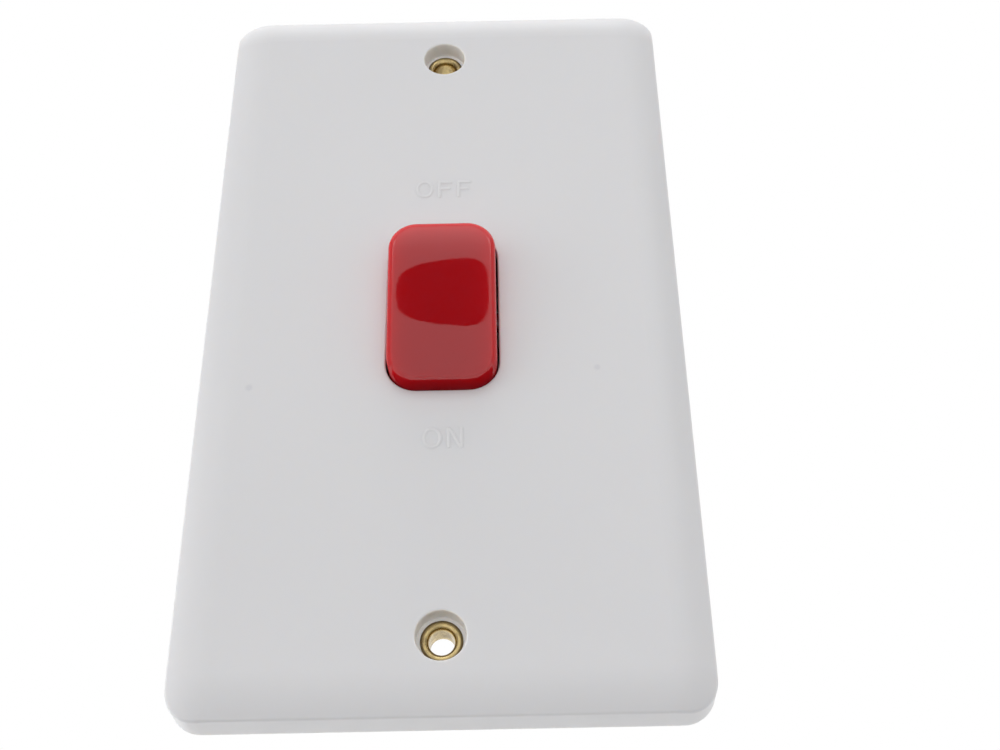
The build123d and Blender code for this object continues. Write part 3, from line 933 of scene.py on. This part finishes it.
@dataclass(frozen=True)
class RockerCap:
    """The red rocker with its plungers and springs.

    The cap's face is polished down to the round of its edges, and its sides are not.
    """

    pivot: Point = (0.0, -3.1 * MM, 0.0)
    tilt: float = 5.5
    half: Span = (9.57 * MM, 15.76 * MM)
    dull_at: float = 8.8 * MM
    glossy_at: float = 9.6 * MM
    pole_x: float = 5.0 * MM
    spring_foot: float = -4.55 * MM

    def outward(self) -> Point:
        """Direction that the cap's face looks in at rest."""
        lean = math.radians(self.tilt)
        return (0.0, -math.cos(lean), -math.sin(lean))

    def upward(self) -> Point:
        """Direction from the cap's middle to its upper end at rest."""
        lean = math.radians(self.tilt)
        return (0.0, -math.sin(lean), math.cos(lean))

    def cap_sides(self) -> CapSides:
        """Sides and ends of the cap, told along its own tilted directions."""
        return CapSides(
            self.pivot,
            outward=self.outward(),
            upward=self.upward(),
            half=self.half,
            dull_at=self.dull_at,
            glossy_at=self.glossy_at,
            roughness=0.6,
            soft_end=0.78,
            # painted light: a brighter red painted in from the sides and the upper end
            rim_painted_light_tone=(0.88, 0.009, 0.0145),
            side_painted_light=(2.0 * MM, 0.33),
            end_painted_light=(3.0 * MM, 0.6),
        )

    def cap_finish(self) -> Moulding:
        """Polished red moulding, so smooth that it mirrors its surroundings."""
        return Moulding(
            "red_polished_moulding",
            tone=(0.402, 0.0075, 0.012),
            other_tone=(0.427, 0.009, 0.0145),
            tone_pitch=20 * MM,
            roughness=(0.02, 0.028),
            grain_pitch=0.6 * MM,
            grain_depth=0.0004 * MM,
            wave_pitch=3.5 * MM,
            wave_depth=0.0025 * MM,
            ior=1.58,
            glow=1.0,
            glow_reach=(3.5 * MM, 0.25 * MM, 0.25 * MM),
            sides=self.cap_sides(),
        )

    def plunger_finish(self) -> Moulding:
        """Natural nylon that lets a little light through."""
        return Moulding(
            "natural_nylon",
            tone=(0.72, 0.68, 0.58),
            other_tone=(0.78, 0.75, 0.66),
            tone_pitch=4 * MM,
            roughness=(0.38, 0.5),
            grain_pitch=0.2 * MM,
            grain_depth=0.003 * MM,
            wave_pitch=2 * MM,
            wave_depth=0.01 * MM,
            glow=0.25,
        )

    def spring_finish(self) -> Metal:
        """Drawn spring wire."""
        return Metal(
            "spring_wire",
            bright=(0.56, 0.55, 0.53),
            dull=(0.3, 0.29, 0.27),
            dull_share=0.6,
            stain_pitch=1.2 * MM,
            roughness=(0.22, 0.36),
            lay=Lay.TUMBLED,
            mark_pitch=0.1 * MM,
            mark_depth=0.003 * MM,
        )

    def build(self) -> None:
        """Dresses the rocker, both plungers and both springs."""
        dress("rocker", self.cap_finish().material())
        nylon = self.plunger_finish().material()
        wire = self.spring_finish().material()
        for side, across in (("left", -1.0), ("right", 1.0)):
            dress(f"{side}_plunger", nylon)
            dress(f"{side}_plunger_spring", wire)
            low = Vector(self.pivot) + self.spring_foot * Vector(self.outward())
            foot = (low.x + across * self.pole_x, low.y, low.z)
            PlungerSpring(side, foot, self.outward()).build(wire)


@dataclass(frozen=True)
class SwitchBody:
    """The moulded body behind the plate, with its contacts, terminals and screws."""

    def body_finish(self) -> Moulding:
        """Plain off-white moulding, duller than the plate."""
        return Moulding(
            "body_moulding",
            tone=(0.68, 0.67, 0.63),
            other_tone=(0.73, 0.72, 0.68),
            tone_pitch=25 * MM,
            roughness=(0.42, 0.52),
            grain_pitch=0.3 * MM,
            grain_depth=0.006 * MM,
            wave_pitch=9 * MM,
            wave_depth=0.02 * MM,
        )

    def terminal_finish(self) -> Metal:
        """Sawn and tumbled brass."""
        return Metal(
            "terminal_brass",
            bright=(0.64, 0.47, 0.19),
            dull=(0.4, 0.27, 0.1),
            dull_share=0.6,
            stain_pitch=3 * MM,
            roughness=(0.24, 0.4),
            lay=Lay.DRAWN,
            mark_pitch=0.12 * MM,
            mark_depth=0.006 * MM,
        )

    def blade_finish(self) -> Metal:
        """Rolled copper."""
        return Metal(
            "rolled_copper",
            bright=(0.72, 0.38, 0.24),
            dull=(0.42, 0.19, 0.11),
            dull_share=0.5,
            stain_pitch=3 * MM,
            roughness=(0.24, 0.36),
            lay=Lay.DRAWN,
            mark_pitch=0.1 * MM,
            mark_depth=0.004 * MM,
        )

    def tip_finish(self) -> Metal:
        """Silver alloy of the contact tips."""
        return Metal(
            "silver_alloy",
            bright=(0.83, 0.82, 0.8),
            dull=(0.55, 0.54, 0.52),
            dull_share=0.4,
            stain_pitch=1.5 * MM,
            roughness=(0.18, 0.3),
            lay=Lay.TUMBLED,
            mark_pitch=0.15 * MM,
            mark_depth=0.004 * MM,
        )

    def screw_finish(self) -> Metal:
        """Zinc-plated steel."""
        return Metal(
            "zinc_plate",
            bright=(0.62, 0.63, 0.64),
            dull=(0.42, 0.44, 0.45),
            dull_share=0.6,
            stain_pitch=1.4 * MM,
            roughness=(0.24, 0.4),
            lay=Lay.TUMBLED,
            mark_pitch=0.12 * MM,
            mark_depth=0.006 * MM,
        )

    def build(self) -> None:
        """Dresses the body, both poles, the terminals, the earth strap and all screws."""
        dress("switch_body", self.body_finish().material())
        brass = self.terminal_finish().material()
        copper = self.blade_finish().material()
        silver = self.tip_finish().material()
        zinc = self.screw_finish().material()
        for side in ("left", "right"):
            dress(f"{side}_moving_contact", copper)
            dress(f"{side}_moving_tip", silver)
            dress(f"{side}_fixed_tip", silver)
            for end in ("supply", "load"):
                dress(f"{side}_{end}_strip", brass)
                dress(f"{side}_{end}_terminal", brass)
        for name in ("earth_strap", "earth_terminal"):
            dress(name, brass)
        for name in ("terminal_screws", "body_screws", "earth_screw"):
            dress(name, zinc)


@dataclass(frozen=True)
class SkyLobe:
    """A soft brightening of the sky about one direction."""

    toward: Point
    strength: float
    power: float = 4.0

    def light(self, sheet: NodeSheet) -> bpy.types.NodeSocket:
        """Raises the cosine to the lobe's direction to its power, with no light from behind.

        Args:
            sheet: the sky's nodes.

        Returns:
            The light, at most the lobe's strength.
        """
        facing = sheet.vector("DOT_PRODUCT", sheet.place, Vector(self.toward).normalized())
        front = sheet.joined("MAXIMUM", facing.outputs["Value"], 0.0)
        return sheet.joined("MULTIPLY", sheet.joined("POWER", front, self.power), self.strength)


class Stand(Enum):
    """How a card is placed."""

    UPRIGHT = "facing the plate"
    LYING = "facing up"
    SIDEWAYS = "facing the plate's side"


@dataclass(frozen=True)
class MirrorCard:
    """A card that shows only in reflections, black or glowing.

    The glow is its strength at the card's lower and at its upper edge. The outline is
    a superellipse, a |cos t|^(2/p) and b |sin t|^(2/p) with their signs, whose height
    grows by the taper's share towards the right.
    """

    name: str
    stand: Stand
    middle: Point
    half: Span
    taper: float = 0.0
    power: float = 12.0
    glow: Span = (0.0, 0.0)
    rim_points: int = 96

    def points(self) -> np.ndarray:
        """Works out the card's rim.

        Returns:
            Places, one to a row.
        """
        turn = np.linspace(0.0, 2.0 * np.pi, self.rim_points, endpoint=False)
        wave = np.stack([np.cos(turn), np.sin(turn)], axis=1)
        rim = np.sign(wave) * np.abs(wave) ** (2.0 / self.power)
        across = self.half[0] * rim[:, 0]
        along = self.half[1] * rim[:, 1] * (1.0 + self.taper * rim[:, 0])
        flat = np.zeros_like(across)
        order = {
            Stand.UPRIGHT: (across, flat, along),
            Stand.LYING: (across, along, flat),
            Stand.SIDEWAYS: (flat, across, along),
        }[self.stand]
        return np.stack(order, axis=1) + np.array(self.middle)

    def build(self) -> None:
        """Puts the card on the stage, hidden from all but glossy rays."""
        card = staged(self.name, self.points(), [list(range(self.rim_points))])
        sheet = FinishSheet(self.name)
        sheet.paint("Base Color", BLACK)
        sheet.paint("Specular IOR Level", 0.0)
        split = sheet.node("ShaderNodeSeparateXYZ")
        sheet.feed(split.inputs[0], sheet.place)
        low, high = self.middle[2] - self.half[1], self.middle[2] + self.half[1]
        glow = sheet.spread(split.outputs["Z"], (low, self.glow[0]), (high, self.glow[1]))
        sheet.paint("Emission Color", WHITE)
        sheet.paint("Emission Strength", glow)
        card.data.materials.append(sheet.material)
        card.visible_camera = False
        card.visible_diffuse = False
        card.visible_transmission = False
        card.visible_shadow = False


@dataclass(frozen=True)
class Studio:
    """Soft white surroundings, brighter on some sides, a pale floor and cards to mirror."""

    lobes: tuple[SkyLobe, ...] = (
        SkyLobe((0.0, -1.0, 0.0), 1.69),
        SkyLobe((0.0, 0.0, 1.0), 4.3, power=12.0),
        SkyLobe((-1.0, 0.0, 0.0), 2.15),
        SkyLobe((1.0, 0.0, 0.0), 1.05),
        SkyLobe((0.0, 1.0, -1.0), 0.3),
        SkyLobe((0.0, 1.0, 0.0), 0.95, power=0.5),
    )
    cards: tuple[MirrorCard, ...] = (
        MirrorCard(
            "dark_card",
            Stand.UPRIGHT,
            (-0.0235, -0.5, 0.2125),
            (0.027, 0.050),
            taper=0.18,
            power=3.6,
        ),
        MirrorCard("lower_card", Stand.LYING, (0.0, -0.0105, -0.155), (0.7, 0.0355)),
        MirrorCard("left_card", Stand.SIDEWAYS, (-0.4, -0.2, 0.2), (0.3, 0.25), glow=(0.5, 0.5)),
        MirrorCard("right_card", Stand.SIDEWAYS, (0.4, -0.2, 0.2), (0.3, 0.25), glow=(0.5, 0.5)),
        MirrorCard("bright_card", Stand.UPRIGHT, (0.0, -0.52, 0.34), (0.4, 0.07), glow=(1.0, 3.0)),
    )
    floor_z: float = -0.16
    floor_radius: float = 1.6
    floor_tone: Colour = (0.82, 0.82, 0.82)
    floor_roughness: float = 0.8
    fade: Span = (0.25, 0.9)
    rim_points: int = 96
    rings: int = 6

    def world(self) -> None:
        """White where it shows, and the soft sky of the lobes for the light that it gives."""
        world = bpy.data.worlds.new("soft_white")
        bpy.context.scene.world = world
        world.use_nodes = True
        sheet = NodeSheet(world.node_tree, "Generated")
        light = 0.0
        for lobe in self.lobes:
            light = sheet.joined("ADD", lobe.light(sheet), light)
        skies = [sheet.node("ShaderNodeBackground") for _ in range(2)]
        for sky, strength in zip(skies, (light, 1.0)):
            sheet.feed(sky.inputs["Color"], WHITE)
            sheet.feed(sky.inputs["Strength"], strength)
        both = sheet.layered(sheet.shown(), skies[0].outputs[0], skies[1].outputs[0])
        sheet.feed(sheet.tree.nodes["World Output"].inputs["Surface"], both)

    def floor(self) -> None:
        """Pale round floor that takes the object's shadow and fades to the white backdrop.

        Point (i, j) is on ring i of a disc, and the rings shrink evenly from its rim.
        The sky's lobes already hold the light that comes back from below, so the
        floor gives none.
        """
        turn = np.linspace(0.0, 2.0 * np.pi, self.rim_points, endpoint=False)
        share = np.linspace(1.0, 1.0 / self.rings, self.rings) * self.floor_radius
        plan = share[:, None, None] * np.stack([np.cos(turn), np.sin(turn)], axis=1)[None]
        points = np.pad(plan.reshape(-1, 2), ((0, 0), (0, 1)), constant_values=self.floor_z)
        faces = grid_quads(self.rings, self.rim_points, False).tolist()
        faces.append(list(range(len(points) - self.rim_points, len(points))))
        floor = staged("floor", points, faces)
        sheet = FinishSheet("pale_floor")
        sheet.paint("Base Color", (*self.floor_tone, 1.0))
        sheet.paint("Roughness", self.floor_roughness)
        away = sheet.distance(sheet.placed((0.0, 0.0, self.floor_z)))
        gone = sheet.spread(away, (self.fade[0], 0.0), (self.fade[1], 1.0))
        clear = sheet.node("ShaderNodeBsdfTransparent").outputs[0]
        faded = sheet.layered(gone, sheet.shader.outputs[0], clear)
        sheet.feed(sheet.tree.nodes["Material Output"].inputs["Surface"], faded)
        floor.data.materials.append(sheet.material)
        floor.visible_diffuse = False
        floor.visible_shadow = False

    def build(self) -> None:
        """Sets the stage and the light."""
        self.world()
        self.floor()
        for card in self.cards:
            card.build()
        bpy.context.scene.view_settings.view_transform = "Standard"


@dataclass(frozen=True)
class Viewpoint:
    """The camera, fitted to the plate's outline and its two wells."""

    place: Point = (0.0104445, -0.2019464, -0.1267395)
    right: Point = (0.999793, 0.011928, -0.016476)
    up: Point = (0.020239, -0.502986, 0.864057)
    ahead: Point = (-0.002019, 0.864212, 0.503124)
    lens: float = 46.6169
    sensor: float = 36.0
    near: float = 0.01

    def build(self) -> None:
        """Makes the scene's camera."""
        data = bpy.data.cameras.new("camera")
        data.lens = self.lens
        data.sensor_width = self.sensor
        data.clip_start = self.near
        camera = bpy.data.objects.new("camera", data)
        axes = np.stack([self.right, self.up, -np.array(self.ahead)], axis=1)
        turn = Matrix(axes.tolist()).to_quaternion().to_matrix().to_4x4()
        camera.matrix_world = Matrix.Translation(self.place) @ turn
        bpy.context.scene.collection.objects.link(camera)
        bpy.context.scene.camera = camera


def main() -> None:
    """Builds each sub-assembly, the studio and the camera in order."""
    logging.basicConfig(level=logging.INFO, format="%(name)s: %(message)s")
    for assembly in (FrontPlate(), RockerCap(), SwitchBody(), Studio(), Viewpoint()):
        assembly.build()
        log.info("%s is built", type(assembly).__name__)


if __name__ == "__main__":
    main()
